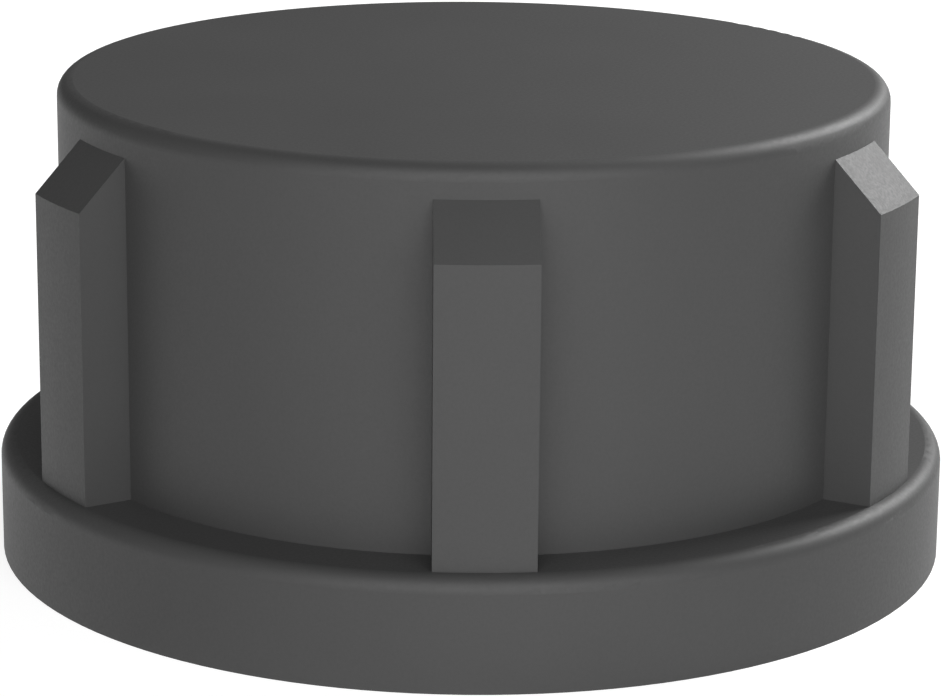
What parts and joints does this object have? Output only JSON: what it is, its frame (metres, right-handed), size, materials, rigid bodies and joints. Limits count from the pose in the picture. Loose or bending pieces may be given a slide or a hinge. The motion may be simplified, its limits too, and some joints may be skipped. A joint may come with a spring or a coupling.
{
  "type": "threaded tube end cap",
  "caption": "Round moulded plastic cap with a collar at its open end, straight grip ribs round its side and a pipe thread inside, which screws over the end of a tube to close it.",
  "frame": {"origin": "centre of the open mouth, in the plane of the collar's rim", "axes": "+Z along the cap's axis from the open mouth to the closed top, -Y through the middle of one grip rib"},
  "size_m": [0.06, 0.06, 0.03],
  "materials": {
    "cap_plastic": "dark grey moulded plastic with a fine even grain"
  },
  "bodies": {
    "root": {"end_cap": "cap_plastic"}
  },
  "joints": []
}
